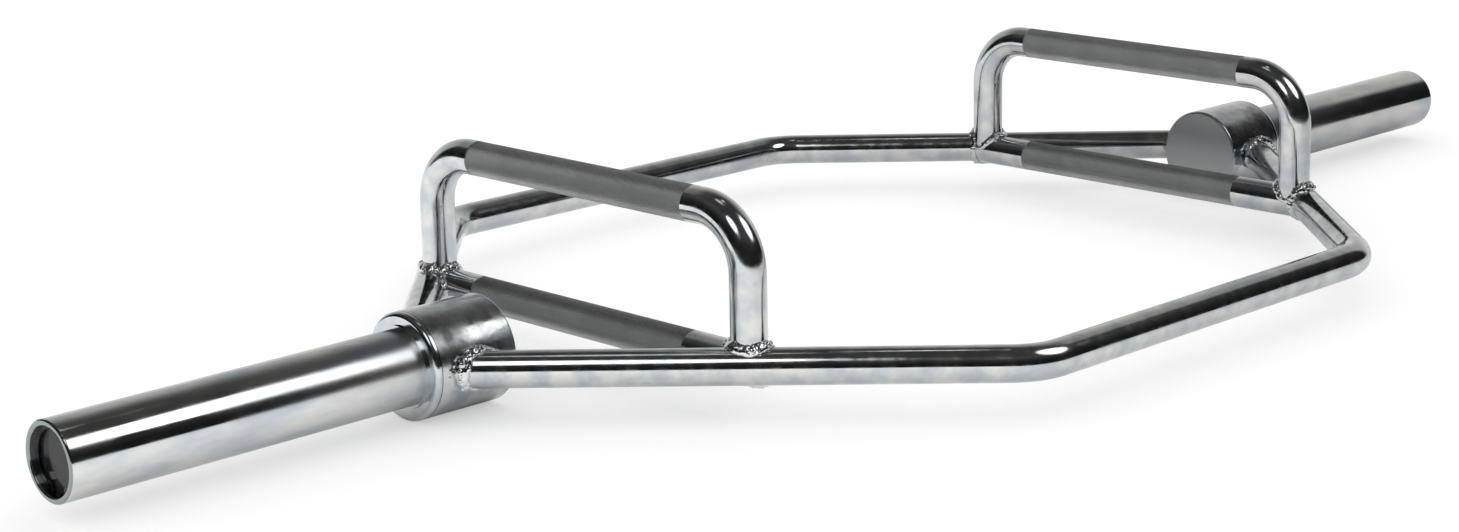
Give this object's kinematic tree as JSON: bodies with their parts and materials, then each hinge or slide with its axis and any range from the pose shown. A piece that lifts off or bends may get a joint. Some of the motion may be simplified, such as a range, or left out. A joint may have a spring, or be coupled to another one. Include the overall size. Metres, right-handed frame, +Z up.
{
  "type": "hex trap bar",
  "caption": "Hexagonal lifting bar of bent steel rails, with low and raised knurled handles and a free-turning plate sleeve on a hub at each end.",
  "frame": {"origin": "on the floor, below the middle of the bar", "axes": "+Z up, +X along the sleeves, +Y from the front rail to the rear rail"},
  "size_m": [1.4, 0.602, 0.1404],
  "materials": {
    "plated_steel": "bright plated",
    "knurled_steel": "plated, with a diamond knurl over the grip",
    "weld_steel": "plated weld beads",
    "bare_steel": "turned",
    "spring_steel": "blackened",
    "bronze": "sintered, oiled",
    "black_plastic": "smooth"
  },
  "bodies": {
    "frame": {"front_rail": "plated_steel", "rear_rail": "plated_steel", "left_lower_grip": "knurled_steel", "left_raised_handle": "knurled_steel", "left_hub_welds": "weld_steel", "left_grip_welds": "weld_steel", "left_handle_welds": "weld_steel", "left_hub": "plated_steel", "left_axle": "bare_steel", "left_thrust_washer": "bare_steel", "left_retaining_washer": "bare_steel", "left_axle_circlip": "spring_steel", "right_lower_grip": "knurled_steel", "right_raised_handle": "knurled_steel", "right_hub_welds": "weld_steel", "right_grip_welds": "weld_steel", "right_handle_welds": "weld_steel", "right_hub": "plated_steel", "right_axle": "bare_steel", "right_thrust_washer": "bare_steel", "right_retaining_washer": "bare_steel", "right_axle_circlip": "spring_steel"},
    "left_sleeve_set": {"left_sleeve": "plated_steel", "left_sleeve_flange": "plated_steel", "left_inner_bushing": "bronze", "left_outer_bushing": "bronze", "left_end_disc": "black_plastic", "left_end_circlip": "spring_steel"},
    "right_sleeve_set": {"right_sleeve": "plated_steel", "right_sleeve_flange": "plated_steel", "right_inner_bushing": "bronze", "right_outer_bushing": "bronze", "right_end_disc": "black_plastic", "right_end_circlip": "spring_steel"}
  },
  "joints": [
    {"name": "left_sleeve_spin", "type": "hinge", "parent": "frame", "child": "left_sleeve_set", "pos_m": [-0.57, 0, 0.035], "axis": [1, 0, 0], "continuous": true},
    {"name": "right_sleeve_spin", "type": "hinge", "parent": "frame", "child": "right_sleeve_set", "pos_m": [0.57, 0, 0.035], "axis": [1, 0, 0], "continuous": true}
  ]
}
